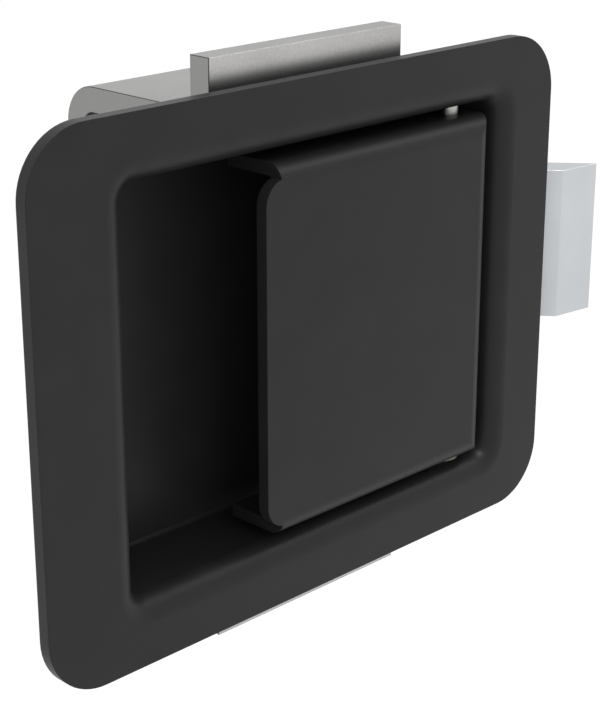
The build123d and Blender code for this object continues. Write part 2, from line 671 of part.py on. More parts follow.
# Bumpers
def make_bumpers():
    head = disc_y(BUMPER_X, BUMPER_Z, BUMPER_RADIUS, PADDLE_BACK_Y + REST_GAP, POCKET_FLOOR_Y)
    head = fillet(head.edges().group_by(Axis.Y)[0], BUMPER_EDGE_RADIUS)
    stem = disc_y(BUMPER_X, BUMPER_Z, BUMPER_STEM_RADIUS, POCKET_FLOOR_Y, POCKET_BACK_Y)
    barb = disc_y(BUMPER_X, BUMPER_Z, BUMPER_BARB_RADIUS, POCKET_BACK_Y, POCKET_BACK_Y + BUMPER_BARB_LENGTH)
    barb = chamfer(barb.edges().group_by(Axis.Y)[-1], BUMPER_EDGE_RADIUS)
    return both_ends(head + stem + barb)


# Clamp bracket
def make_bracket():
    foot_y = PANEL_GAP + BRACKET_SHEET / 2
    leg_z = BRACKET_INNER_Z + BRACKET_SHEET / 2
    web_y = BRACKET_BACK_Y - BRACKET_SHEET / 2
    section = folded(
        [
            (foot_y, BRACKET_END_Z),
            (foot_y, leg_z),
            (web_y, leg_z),
            (web_y, -leg_z),
            (foot_y, -leg_z),
            (foot_y, -BRACKET_END_Z),
        ],
        BRACKET_SHEET,
        BRACKET_BEND_RADIUS,
    )
    bracket = along(section, BRACKET_LEFT_X, BRACKET_LEFT_X + BRACKET_WIDTH)
    sides = bracket.edges().group_by(Axis.X)
    bracket = chamfer(sides[0] + sides[-1], BRACKET_EDGE)
    hole = disc_y(POCKET_CENTRE_X, STUD_Z, STUD_RADIUS + HOLE_PLAY, POCKET_BACK_Y, BRACKET_BACK_Y + 1)
    return bracket - both_ends(hole)


def make_studs():
    stud = disc_y(POCKET_CENTRE_X, STUD_Z, STUD_RADIUS, POCKET_BACK_Y, STUD_END_Y)
    stud = chamfer(stud.edges().group_by(Axis.Y)[-1], STUD_CHAMFER)
    weld_end_y = POCKET_BACK_Y + STUD_WELD_HEIGHT
    weld = disc_y(POCKET_CENTRE_X, STUD_Z, STUD_WELD_RADIUS, POCKET_BACK_Y, weld_end_y)
    weld = fillet(weld.edges().group_by(Axis.Y)[-1], STUD_WELD_HEIGHT / 2)
    return both_ends(stud + weld)


def make_washers():
    washer = disc_y(POCKET_CENTRE_X, STUD_Z, WASHER_RADIUS, BRACKET_BACK_Y, WASHER_BACK_Y)
    hole_radius = STUD_RADIUS + HOLE_PLAY
    washer -= disc_y(POCKET_CENTRE_X, STUD_Z, hole_radius, BRACKET_BACK_Y - 1, WASHER_BACK_Y + 1)
    return both_ends(washer)


def make_nuts():
    hexagon = Pos(POCKET_CENTRE_X, STUD_Z) * RegularPolygon(NUT_ACROSS_FLATS / 2, 6, major_radius=False)
    nut = across(hexagon, WASHER_BACK_Y, WASHER_BACK_Y + NUT_HEIGHT)
    corner = NUT_ACROSS_FLATS / 2 / cos(pi / 6)
    round_off = disc_y(POCKET_CENTRE_X, STUD_Z, corner, WASHER_BACK_Y, WASHER_BACK_Y + NUT_HEIGHT)
    round_off = chamfer(round_off.edges().filter_by(GeomType.CIRCLE), corner - NUT_ACROSS_FLATS / 2)
    nut = nut & round_off
    nut -= disc_y(POCKET_CENTRE_X, STUD_Z, STUD_RADIUS + RUNNING, BRACKET_BACK_Y, STUD_END_Y)
    return both_ends(nut)


if __name__ == "__main__":
    save("pan", make_pan())
    save("paddle", make_paddle())
    save("drive_lever", make_lever())
    save("drive_pin", make_drive_pin())
    save("hinge_pin", make_hinge_pin())
    save("pin_clip", make_pin_clip())
    save("bolt", make_bolt())
    save("release_slide", make_slide())
    save("bolt_housing", make_housing())
    save("housing_rivets", make_housing_rivets())
    save("bolt_guides", make_guides())
    save("guide_rivets", make_guide_rivets())
    save("spring_rods", make_rods())
    save("slide_spring_rod", make_stub())
    save("spring_button", make_button())
    for name, z in (("upper_bolt_spring", ROD_Z), ("lower_bolt_spring", -ROD_Z)):
        save(name, make_spring(name, z, BOLT_SPRING_WIRE, BOLT_SPRING_TURNS, HOUSING_END_X, BOLT_TAIL_X))
    name = "slide_spring"
    save(name, make_spring(name, 0, SLIDE_SPRING_WIRE, SLIDE_SPRING_TURNS, HOUSING_END_X, SLIDE_LEFT_X))
    save("paddle_bumpers", make_bumpers())
    save("clamp_bracket", make_bracket())
    save("clamp_studs", make_studs())
    save("clamp_washers", make_washers())
    save("clamp_nuts", make_nuts())
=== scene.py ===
from math import pi, radians

import bpy
from bpy.props import FloatProperty, FloatVectorProperty, IntProperty, PointerProperty
from mathutils import Matrix, Vector


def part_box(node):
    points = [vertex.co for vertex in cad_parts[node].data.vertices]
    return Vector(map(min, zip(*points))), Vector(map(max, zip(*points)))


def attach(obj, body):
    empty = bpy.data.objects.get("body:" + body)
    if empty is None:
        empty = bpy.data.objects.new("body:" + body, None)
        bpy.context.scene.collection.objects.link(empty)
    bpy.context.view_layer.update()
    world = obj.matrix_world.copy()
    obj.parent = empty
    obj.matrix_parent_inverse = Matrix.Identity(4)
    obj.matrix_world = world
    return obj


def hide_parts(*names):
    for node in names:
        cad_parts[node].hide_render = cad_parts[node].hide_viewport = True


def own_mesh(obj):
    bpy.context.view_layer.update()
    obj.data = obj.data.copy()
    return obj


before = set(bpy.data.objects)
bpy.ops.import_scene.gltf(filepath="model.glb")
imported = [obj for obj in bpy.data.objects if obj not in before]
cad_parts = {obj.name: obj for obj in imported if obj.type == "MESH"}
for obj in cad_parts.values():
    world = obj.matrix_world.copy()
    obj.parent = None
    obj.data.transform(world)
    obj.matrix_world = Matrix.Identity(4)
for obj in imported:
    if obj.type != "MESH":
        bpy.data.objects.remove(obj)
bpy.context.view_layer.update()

bl_info = {
    "name": "Paddle latch finishes",
    "version": (1, 0, 0),
    "blender": (4, 5, 0),
    "location": "3D View > Sidebar > Latch",
    "description": "Finishes, threads, springs and welds of a flush push-to-close paddle latch",
    "category": "Object",
}

MM = 0.001
MERGE_DISTANCE = 2e-6
SHARP_ANGLE = radians(50)
WIRE_SIDES = 12
WIRE_POINTS_PER_TURN = 24
BEAD_SIDES = 10
NODES_IN_A_ROW = 12


def linear(code):
    """The linear colour of an sRGB hex value."""
    parts = [int(code[i:i + 2], 16) / 255 for i in (1, 3, 5)]
    return tuple(c / 12.92 if c <= 0.04045 else ((c + 0.055) / 1.055) ** 2.4 for c in parts)


def add(tree, kind, feeds=None, **settings):
    """Add a node with its settings, and give its inputs values, nodes or sockets."""
    made = tree.nodes.new(kind)
    row, column = divmod(len(tree.nodes), NODES_IN_A_ROW)
    made.location = (180 * column, -220 * row)
    for key, value in settings.items():
        setattr(made, key, value)
    for key, value in (feeds or {}).items():
        if isinstance(value, bpy.types.Node):
            value = value.outputs[0]
        if isinstance(value, bpy.types.NodeSocket):
            tree.links.new(value, made.inputs[key])
        else:
            made.inputs[key].default_value = value
    return made


# Settings that a user would change


class CoatSettings(bpy.types.PropertyGroup):
    """Sizes and colours of the powder coated sheet."""

    deep: FloatVectorProperty(
        name="Deep tone", description="Darker tone of the coat", subtype="COLOR", default=linear("#252526")
    )
    pale: FloatVectorProperty(
        name="Pale tone", description="Lighter tone of the coat", subtype="COLOR", default=linear("#282829")
    )
    peel: FloatProperty(
        name="Orange peel", description="Width of one wave of the skin", unit="LENGTH", default=1.6 * MM
    )
    peel_height: FloatProperty(
        name="Peel height", description="Height of the waves", unit="LENGTH", default=0.004 * MM
    )
    edge: FloatProperty(
        name="Edge", description="Radius that the coat gives to an edge", unit="LENGTH", default=0.3 * MM
    )


class MetalSettings(bpy.types.PropertyGroup):
    """Colours of the bare and plated metals."""

    bolt: FloatVectorProperty(
        name="Bolt", description="Blue bright zinc on the bolt", subtype="COLOR", default=linear("#CACDD1")
    )
    strap: FloatVectorProperty(
        name="Strap", description="Zinc on the rolled strap", subtype="COLOR", default=linear("#BEBDBC")
    )
    cut: FloatVectorProperty(
        name="Cut side", description="Sheared side of the strap", subtype="COLOR", default=linear("#919190")
    )
    # This tone is a painted dark reflection: a hairline on the strap's chamfered edges, standing in for the
    # dark surroundings that they would mirror.
    painted_dark_reflection: FloatVectorProperty(
        name="Rim", description="Thin zinc on the strap's edges", subtype="COLOR", default=linear("#585756")
    )
    sheet: FloatVectorProperty(
        name="Sheet", description="Zinc on the pressed sheet", subtype="COLOR", default=linear("#BFC1C3")
    )
    fastener: FloatVectorProperty(
        name="Fasteners", description="Zinc on screwed pieces", subtype="COLOR", default=linear("#C6C8CA")
    )
    turned: FloatVectorProperty(
        name="Turned steel", description="Pins, rods and rivets", subtype="COLOR", default=linear("#BCBAB6")
    )
    spring: FloatVectorProperty(
        name="Spring steel", description="Oil tempered wire", subtype="COLOR", default=linear("#6E6B67")
    )
    weld: FloatVectorProperty(
        name="Weld", description="Cooled bead", subtype="COLOR", default=linear("#8C8883")
    )
    edge: FloatProperty(
        name="Edge", description="Broken edge of sheet and bar", unit="LENGTH", default=0.3 * MM
    )


class SoftSettings(bpy.types.PropertyGroup):
    """Colours of the plastic and the rubber."""

    acetal: FloatVectorProperty(
        name="Acetal", description="Natural acetal", subtype="COLOR", default=linear("#DEDCD3")
    )
    rubber: FloatVectorProperty(
        name="Rubber", description="Black rubber", subtype="COLOR", default=linear("#1D1C1B")
    )


class ThreadSettings(bpy.types.PropertyGroup):
    """The M6 thread of the clamp studs."""

    pitch: FloatProperty(name="Pitch", description="Rise of one turn", unit="LENGTH", default=1.0 * MM)
    depth: FloatProperty(name="Depth", description="Crest to root", unit="LENGTH", default=0.55 * MM)
    chamfer: FloatProperty(name="Chamfer", description="At the stud's end", unit="LENGTH", default=0.8 * MM)
    around: IntProperty(name="Around", description="Points round the stud", default=28)
    per_turn: IntProperty(name="Per turn", description="Rows in one pitch", default=6)


class SpringSettings(bpy.types.PropertyGroup):
    """The coils behind the bolt and the slide."""

    bolt_wire: FloatProperty(
        name="Bolt spring wire", description="Diameter of the wire", unit="LENGTH", default=0.9 * MM
    )
    bolt_turns: IntProperty(name="Bolt spring turns", description="All turns", default=12)
    slide_wire: FloatProperty(
        name="Slide spring wire", description="Diameter of the wire", unit="LENGTH", default=1.1 * MM
    )
    slide_turns: IntProperty(name="Slide spring turns", description="All turns", default=8)
    end_gap: FloatProperty(
        name="End gap", description="Gap between the end turns", unit="LENGTH", default=0.5 * MM
    )


class WeldSettings(bpy.types.PropertyGroup):
    """Weld beads on the lever and the studs."""

    width: FloatProperty(name="Width", description="Width of a bead", unit="LENGTH", default=1.7 * MM)
    ripple: FloatProperty(
        name="Ripple", description="Length of one ripple", unit="LENGTH", default=0.75 * MM
    )
    step: FloatProperty(
        name="Step", description="The weld's reach past the stud's side", unit="LENGTH", default=1.0 * MM
    )
    corner_gap: FloatProperty(
        name="Corner gap", description="From a corner to a bead's end", unit="LENGTH", default=1.0 * MM
    )
    hinge_gap: FloatProperty(
        name="Hinge gap", description="The same, on the hinge's side", unit="LENGTH", default=4.0 * MM
    )


class StageSettings(bpy.types.PropertyGroup):
    """Floor, lamps and background."""

    floor_z: FloatProperty(name="Floor", description="Height of the floor", unit="LENGTH", default=-0.42)
    floor_reach: FloatProperty(
        name="Floor's reach", description="From its middle to its sides", unit="LENGTH", default=4.0
    )
    floor_lift: FloatProperty(
        name="Floor's lift", description="Glow that shows the lit floor as white", default=0.36
    )
    surround: FloatProperty(name="Surround", description="Strength of the white surround", default=0.86)
    key: FloatProperty(name="Key lamp", description="Power in watts", unit="POWER", default=1.6)
    top: FloatProperty(name="Top lamp", description="Power in watts", unit="POWER", default=0.4)


SETTINGS = (
    ("latch_coat", CoatSettings),
    ("latch_metal", MetalSettings),
    ("latch_soft", SoftSettings),
    ("latch_thread", ThreadSettings),
    ("latch_spring", SpringSettings),
    ("latch_weld", WeldSettings),
    ("latch_stage", StageSettings),
)


# Finishes


def mottle(tree, sizes, detail=2.0):
    """Noise over the object's own position, its patches of the given sizes in mm along X, Y and Z."""
    place = add(tree, "ShaderNodeTexCoord").outputs["Object"]
    scale = tuple(1 / (s * MM) for s in sizes)
    spread = add(tree, "ShaderNodeVectorMath", {0: place, 1: scale}, operation="MULTIPLY")
    noise = add(tree, "ShaderNodeTexNoise", {"Vector": spread, "Scale": 1.0, "Detail": detail})
    return noise.outputs["Fac"]


def two_tones(tree, pattern, first, second, low=0.35, high=0.65):
    """A colour that wanders between two tones with the pattern."""
    share = add(tree, "ShaderNodeMapRange", {"Value": pattern, "From Min": low, "From Max": high})
    # A Mix node takes its share at input 0, two numbers at 2 and 3, and two colours at 6 and 7.
    blend = add(tree, "ShaderNodeMix", {0: share, 6: (*first, 1), 7: (*second, 1)}, data_type="RGBA")
    return blend.outputs[2]


def darker(colour, share):
    """The colour made darker by a share."""
    return tuple(c * (1 - share) for c in colour)


def powder_coat(tree):
    """Polyester powder, sprayed dry and baked, melts into one skin: satin black with soft highlights,
    a faint orange peel a millimetre or two across and edges that look slightly rounded."""
    coat = bpy.context.scene.latch_coat
    cloud = mottle(tree, (9, 9, 9))
    peel = mottle(tree, (coat.peel / MM,) * 3, 1.0)
    dull = add(tree, "ShaderNodeMapRange", {"Value": cloud, "To Min": 0.4, "To Max": 0.44})
    soft = add(tree, "ShaderNodeBevel", {"Radius": coat.edge})
    skin = add(tree, "ShaderNodeBump", {"Height": peel, "Distance": coat.peel_height, "Normal": soft})
    # Powder grains are 0.05 mm. They are drawn at 0.35 mm, so that the satin shows.
    grain = mottle(tree, (0.35, 0.35, 0.35), 1.0)
    satin = add(tree, "ShaderNodeBump", {"Height": grain, "Distance": 0.0006 * MM, "Normal": skin})
    return {
        "Metallic": 0.0,
        "IOR": 1.285,
        "Base Color": two_tones(tree, cloud, coat.deep, coat.pale),
        "Roughness": dull,
        "Normal": satin,
    }


def blue_zinc(tree):
    """Bright zinc with a clear blue passivate over a milled bar: pale, faintly blue, with soft clouds
    where the bath ran and a fine lengthwise grain from the mill."""
    metal = bpy.context.scene.latch_metal
    cloud = mottle(tree, (14, 14, 22))
    # Mill lines are 0.02 mm apart. They are drawn at 0.25 mm.
    grain = mottle(tree, (9, 9, 0.25), 1.0)
    dull = add(tree, "ShaderNodeMapRange", {"Value": grain, "To Min": 0.28, "To Max": 0.34})
    soft = add(tree, "ShaderNodeBevel", {"Radius": metal.edge})
    lines = add(tree, "ShaderNodeBump", {"Height": grain, "Distance": 0.0008 * MM, "Normal": soft})
    return {
        "Metallic": 1.0,
        "Specular Tint": (0.88, 0.88, 0.88, 1.0),
        "Base Color": two_tones(tree, cloud, metal.bolt, darker(metal.bolt, 0.07), 0.3, 0.7),
        "Roughness": dull,
        "Normal": lines,
    }


def strap_zinc(tree):
    """Zinc over hot rolled strap: grey satin with a grain along the rolling, and sheared sides that are
    duller, with fine lines across the thickness from the shear. A dark hairline along the chamfered edges
    is a painted dark reflection, standing in for the dark surroundings that these edges would mirror."""
    metal = bpy.context.scene.latch_metal
    facing = add(tree, "ShaderNodeTexCoord").outputs["Normal"]
    parts = add(tree, "ShaderNodeSeparateXYZ", {0: facing})
    side = add(tree, "ShaderNodeMath", {0: parts.outputs["X"]}, operation="ABSOLUTE")
    # Painted dark reflection: chamfer facets that lean partly along X are masked here for a dark tone,
    # standing in for the dark surroundings that they would mirror.
    painted_reflection_mask = add(tree, "ShaderNodeMapRange", {"Value": side, "From Min": 0.3, "From Max": 0.6})
    sheared = add(tree, "ShaderNodeMapRange", {"Value": side, "From Min": 0.8, "From Max": 0.95})
    cloud = mottle(tree, (11, 11, 11))
    # Rolling lines and shear lines are 0.05 mm wide. They are drawn at 0.3 mm.
    rolled = mottle(tree, (0.3, 14, 14), 2.0)
    torn = mottle(tree, (3, 0.3, 0.3), 2.0)
    # Grains of zinc are 0.05 mm. They are drawn at 0.35 mm, so that the plate looks fine and dull.
    grain = mottle(tree, (0.35, 0.35, 0.35), 1.0)
    spots = add(tree, "ShaderNodeMix", {0: 0.6, 2: cloud, 3: grain})
    plate = two_tones(tree, spots, metal.strap, darker(metal.strap, 0.16))
    cut = two_tones(tree, torn, metal.cut, darker(metal.cut, 0.06), 0.3, 0.7)
    # The painted dark reflection laid over the plate's colour.
    painted_dark_reflection = {0: painted_reflection_mask, 6: plate, 7: (*metal.painted_dark_reflection, 1)}
    plate_with_painted_reflection = add(tree, "ShaderNodeMix", painted_dark_reflection, data_type="RGBA").outputs[2]
    colour = add(tree, "ShaderNodeMix", {0: sheared, 6: plate_with_painted_reflection, 7: cut}, data_type="RGBA")
    lines = add(tree, "ShaderNodeMix", {0: sheared, 2: rolled, 3: torn})
    dull = add(tree, "ShaderNodeMapRange", {"Value": lines, "To Min": 0.28, "To Max": 0.33})
    soft = add(tree, "ShaderNodeBevel", {"Radius": metal.edge})
    ridges = add(tree, "ShaderNodeBump", {"Height": lines, "Distance": 0.0004 * MM, "Normal": soft})
    return {
        "Metallic": 1.0,
        "Specular Tint": (0.68, 0.68, 0.68, 1.0),
        "Base Color": colour.outputs[2],
        "Roughness": dull,
        "Normal": ridges,
    }


def sheet_zinc(tree):
    """Zinc over cold rolled sheet, pressed after cutting: even silver grey with a short grain along X
    and cloudy patches from the bath."""
    metal = bpy.context.scene.latch_metal
    cloud = mottle(tree, (7, 7, 7), 3.0)
    # The sheet's grain is 0.03 mm wide. It is drawn at 0.25 mm.
    grain = mottle(tree, (6, 0.25, 0.25), 2.0)
    dull = add(tree, "ShaderNodeMapRange", {"Value": cloud, "To Min": 0.3, "To Max": 0.46})
    soft = add(tree, "ShaderNodeBevel", {"Radius": metal.edge})
    lines = add(tree, "ShaderNodeBump", {"Height": grain, "Distance": 0.0008 * MM, "Normal": soft})
    return {
        "Metallic": 1.0,
        "Base Color": two_tones(tree, cloud, metal.sheet, darker(metal.sheet, 0.14), 0.3, 0.7),
        "Roughness": dull,
        "Normal": lines,
    }


def fastener_zinc(tree):
    """Zinc tumbled onto rolled and forged pieces in a barrel: bright, with small knocks and dull spots."""
    metal = bpy.context.scene.latch_metal
    knocks = mottle(tree, (1.2, 1.2, 1.2), 3.0)
    dull = add(tree, "ShaderNodeMapRange", {"Value": knocks, "To Min": 0.28, "To Max": 0.4})
    soft = add(tree, "ShaderNodeBevel", {"Radius": metal.edge})
    dents = add(tree, "ShaderNodeBump", {"Height": knocks, "Distance": 0.004 * MM, "Normal": soft})
    return {
        "Metallic": 1.0,
        "Base Color": two_tones(tree, knocks, metal.fastener, darker(metal.fastener, 0.12), 0.3, 0.7),
        "Roughness": dull,
        "Normal": dents,
    }


def turned_steel(tree):
    """Free cutting steel, turned and left bare with a trace of oil: bright, and broken up by fine marks."""
    tint = bpy.context.scene.latch_metal.turned
    # Feed marks are 0.1 mm apart. They are drawn as a 0.3 mm grain, which suits a bar along any axis.
    marks = mottle(tree, (0.3, 0.3, 0.3), 1.0)
    film = mottle(tree, (5, 5, 5), 2.0)
    dull = add(tree, "ShaderNodeMapRange", {"Value": film, "To Min": 0.28, "To Max": 0.36})
    feed = add(tree, "ShaderNodeBump", {"Height": marks, "Distance": 0.0015 * MM})
    return {
        "Metallic": 1.0,
        "Base Color": two_tones(tree, film, tint, darker(tint, 0.1), 0.3, 0.7),
        "Roughness": dull,
        "Normal": feed,
    }


def spring_steel(tree):
    """Oil tempered carbon wire: dark grey with a brown cast where the oxide is thicker, half glossy."""
    tint = bpy.context.scene.latch_metal.spring
    brown = (tint[0] * 0.72, tint[1] * 0.64, tint[2] * 0.56)
    oxide = mottle(tree, (3, 3, 3), 3.0)
    # Lines from the drawing die are 0.02 mm apart. They are drawn as a 0.4 mm grain.
    drawn = mottle(tree, (0.4, 0.4, 0.4), 1.0)
    dull = add(tree, "ShaderNodeMapRange", {"Value": oxide, "To Min": 0.28, "To Max": 0.46})
    skin = add(tree, "ShaderNodeBump", {"Height": drawn, "Distance": 0.001 * MM})
    return {
        "Metallic": 1.0,
        "Base Color": two_tones(tree, oxide, tint, brown),
        "Roughness": dull,
        "Normal": skin,
    }


def weld_metal(tree):
    """Arc weld bead, brushed and left bare: rough grey ripples with faint straw and blue heat tints."""
    tint = bpy.context.scene.latch_metal.weld
    straw = linear("#8A7A5E")
    blue = linear("#6E7782")
    tint_share = 0.3
    scale = mottle(tree, (0.9, 0.9, 0.9), 4.0)
    heat = mottle(tree, (2.2, 2.2, 2.2), 1.0)
    grey = two_tones(tree, scale, tint, darker(tint, 0.3))
    tinted = add(tree, "ShaderNodeMix", {0: heat, 6: (*straw, 1), 7: (*blue, 1)}, data_type="RGBA")
    both = {0: tint_share, 6: grey, 7: tinted.outputs[2]}
    colour = add(tree, "ShaderNodeMix", both, data_type="RGBA")
    dull = add(tree, "ShaderNodeMapRange", {"Value": scale, "To Min": 0.38, "To Max": 0.6})
    rough = add(tree, "ShaderNodeBump", {"Height": scale, "Distance": 0.02 * MM})
    return {
        "Metallic": 1.0,
        "Base Color": colour.outputs[2],
        "Roughness": dull,
        "Normal": rough,
    }


def natural_acetal(tree):
    """Acetal, moulded without pigment: milky white, a little see-through at thin edges, low in gloss."""
    tint = bpy.context.scene.latch_soft.acetal
    flow = mottle(tree, (6, 2, 2), 2.0)
    mould = mottle(tree, (0.5, 0.5, 0.5))
    dull = add(tree, "ShaderNodeMapRange", {"Value": flow, "To Min": 0.34, "To Max": 0.48})
    soft = add(tree, "ShaderNodeBevel", {"Radius": 0.2 * MM})
    skin = add(tree, "ShaderNodeBump", {"Height": mould, "Distance": 0.002 * MM, "Normal": soft})
    return {
        "Metallic": 0.0,
        "IOR": 1.48,
        "Subsurface Weight": 0.15,
        "Subsurface Scale": 0.8 * MM,
        "Base Color": two_tones(tree, flow, tint, darker(tint, 0.08)),
        "Roughness": dull,
        "Normal": skin,
    }


def black_rubber(tree):
    """Moulded rubber with bloom: matt black that greys in patches, with a fine spark-eroded texture."""
    tint = bpy.context.scene.latch_soft.rubber
    greyed = tuple(c * 1.6 + 0.003 for c in tint)
    bloom = mottle(tree, (2.5, 2.5, 2.5), 3.0)
    spark = mottle(tree, (0.3, 0.3, 0.3))
    dull = add(tree, "ShaderNodeMapRange", {"Value": bloom, "To Min": 0.62, "To Max": 0.82})
    skin = add(tree, "ShaderNodeBump", {"Height": spark, "Distance": 0.008 * MM})
    return {
        "Metallic": 0.0,
        "IOR": 1.52,
        "Base Color": two_tones(tree, bloom, tint, greyed),
        "Roughness": dull,
        "Normal": skin,
    }


FINISHES = {
    "black powder coat": powder_coat,
    "blue bright zinc plate": blue_zinc,
    "zinc plated rolled strap": strap_zinc,
    "zinc plated sheet": sheet_zinc,
    "barrel zinc plate": fastener_zinc,
    "bare turned steel": turned_steel,
    "oil tempered spring wire": spring_steel,
    "weld bead": weld_metal,
    "natural acetal": natural_acetal,
    "black rubber": black_rubber,
}


def finish(name):
    """The material of this name, made when it is first asked for."""
    found = bpy.data.materials.get(name)
    if found:
        return found
    made = bpy.data.materials.new(name)
    made.use_nodes = True
    tree = made.node_tree
    tree.nodes.clear()
    shader = add(tree, "ShaderNodeBsdfPrincipled", FINISHES[name](tree))
    add(tree, "ShaderNodeOutputMaterial", {"Surface": shader})
    return made


# Meshes


def wear(node, finish_name):
    """Give a CAD node its finish."""
    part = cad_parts[node]
    part.data.materials.clear()
    part.data.materials.append(finish(finish_name))


def plain_mesh(host):
    """Turn an object's modifiers into its own plain mesh."""
    graph = bpy.context.evaluated_depsgraph_get()
    plain = bpy.data.meshes.new_from_object(host.evaluated_get(graph))
    host.modifiers.clear()
    old = host.data
    host.data = plain
    bpy.data.meshes.remove(old)


def new_tree(name, sizes):
    """A geometry tree with named inputs, each given as name: (socket type, default)."""
    tree = bpy.data.node_groups.new(name, "GeometryNodeTree")
    for label, (kind, default) in sizes.items():
        socket = tree.interface.new_socket(label, in_out="INPUT", socket_type="NodeSocket" + kind)
        if default is not None:
            socket.default_value = default
    tree.interface.new_socket("Geometry", in_out="OUTPUT", socket_type="NodeSocketGeometry")
    return tree, add(tree, "NodeGroupInput").outputs


def close_tree(tree, shape, material):
    """End a tree in plain geometry that has its material."""
    real = add(tree, "GeometryNodeRealizeInstances", {"Geometry": shape})
    smooth = add(tree, "GeometryNodeSetShadeSmooth", {"Geometry": real})
    dressed = add(tree, "GeometryNodeSetMaterial", {"Geometry": smooth, "Material": material})
    add(tree, "NodeGroupOutput", {"Geometry": dressed})


def grown(name, tree, values, body, node):
    """The plain mesh that a tree makes with these values, riding on a body and standing for a node."""
    host = bpy.data.objects.new(name, bpy.data.meshes.new(name))
    bpy.context.scene.collection.objects.link(host)
    shape = host.modifiers.new("Shape", "NODES")
    shape.node_group = tree
    for item in tree.interface.items_tree:
        if item.in_out == "INPUT" and item.name in values:
            shape[item.identifier] = values[item.name]
    plain_mesh(host)
    if not host.data.polygons:
        raise RuntimeError(name + " came out empty")
    host.data.set_sharp_from_angle(angle=SHARP_ANGLE)
    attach(host, body)
    if node:
        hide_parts(node)
    return host


def thread_tree():
    """A threaded stud along Y: a grid rolled round the axis, its radius a wave that climbs with the angle.
    The first and the last row close its ends."""
    tree, given = new_tree(
        "rolled thread",
        {
            "Radius": ("Float", 0.003),
            "Pitch": ("Float", 0.001),
            "Depth": ("Float", 0.00055),
            "Start": ("Float", 0.0),
            "End": ("Float", 0.03),
            "Chamfer": ("Float", 0.0008),
            "Around": ("Int", 28),
            "Rows": ("Int", 200),
            "Centre": ("Vector", (0.0, 0.0, 0.0)),
            "Material": ("Material", None),
        },
    )
    size = {"Size X": 1.0, "Size Y": 1.0, "Vertices X": given["Around"], "Vertices Y": given["Rows"]}
    grid = add(tree, "GeometryNodeMeshGrid", size)
    place = add(tree, "GeometryNodeInputPosition")
    moved = add(tree, "ShaderNodeVectorMath", {0: place, 1: (0.5, 0.5, 0.0)}, operation="ADD")
    shares = add(tree, "ShaderNodeSeparateXYZ", {0: moved})
    turn = shares.outputs["X"]
    last = add(tree, "ShaderNodeMath", {0: given["Rows"], 1: 1.0}, operation="SUBTRACT")
    row = add(tree, "ShaderNodeMath", {0: shares.outputs["Y"], 1: last}, operation="MULTIPLY")
    top = add(tree, "ShaderNodeMath", {0: last, 1: 1.0}, operation="SUBTRACT")
    rise = {
        "Value": row,
        "From Min": 1.0,
        "From Max": top,
        "To Min": given["Start"],
        "To Max": given["End"],
    }
    y = add(tree, "ShaderNodeMapRange", rise)
    pitches = add(tree, "ShaderNodeMath", {0: y, 1: given["Pitch"]}, operation="DIVIDE")
    climb = add(tree, "ShaderNodeMath", {0: pitches, 1: turn}, operation="SUBTRACT")
    wave = add(tree, "ShaderNodeMath", {0: climb, 1: 0.5}, operation="PINGPONG")
    root = add(tree, "ShaderNodeMath", {0: given["Radius"], 1: given["Depth"]}, operation="SUBTRACT")
    # The root is flat for an eighth of the pitch and the crest for a quarter.
    flank = {
        "Value": wave,
        "From Min": 1 / 16,
        "From Max": 3 / 8,
        "To Min": root,
        "To Max": given["Radius"],
    }
    thread = add(tree, "ShaderNodeMapRange", flank)
    to_end = add(tree, "ShaderNodeMath", {0: given["End"], 1: y}, operation="SUBTRACT")
    cut = add(tree, "ShaderNodeMath", {0: given["Chamfer"], 1: to_end}, operation="SUBTRACT")
    cone = add(tree, "ShaderNodeMath", {0: given["Radius"], 1: cut}, operation="SUBTRACT")
    outer = add(tree, "ShaderNodeMath", {0: thread, 1: cone}, operation="MINIMUM")
    to_last = add(tree, "ShaderNodeMath", {0: last, 1: row}, operation="SUBTRACT")
    nearest = add(tree, "ShaderNodeMath", {0: row, 1: to_last}, operation="MINIMUM")
    inside = add(tree, "ShaderNodeMath", {0: nearest, 1: 0.5}, operation="GREATER_THAN")
    radius = add(tree, "ShaderNodeMath", {0: outer, 1: inside}, operation="MULTIPLY")
    arm = add(tree, "ShaderNodeCombineXYZ", {"X": radius, "Y": y})
    angle = add(tree, "ShaderNodeMath", {0: turn, 1: 2 * pi}, operation="MULTIPLY")
    swung = add(tree, "ShaderNodeVectorRotate", {"Vector": arm, "Axis": (0.0, 1.0, 0.0), "Angle": angle})
    target = add(tree, "ShaderNodeVectorMath", {0: swung, 1: given["Centre"]}, operation="ADD")
    rolled = add(tree, "GeometryNodeSetPosition", {"Geometry": grid, "Position": target})
    closed = add(tree, "GeometryNodeMergeByDistance", {"Geometry": rolled, "Distance": MERGE_DISTANCE})
    close_tree(tree, closed, given["Material"])
    return tree


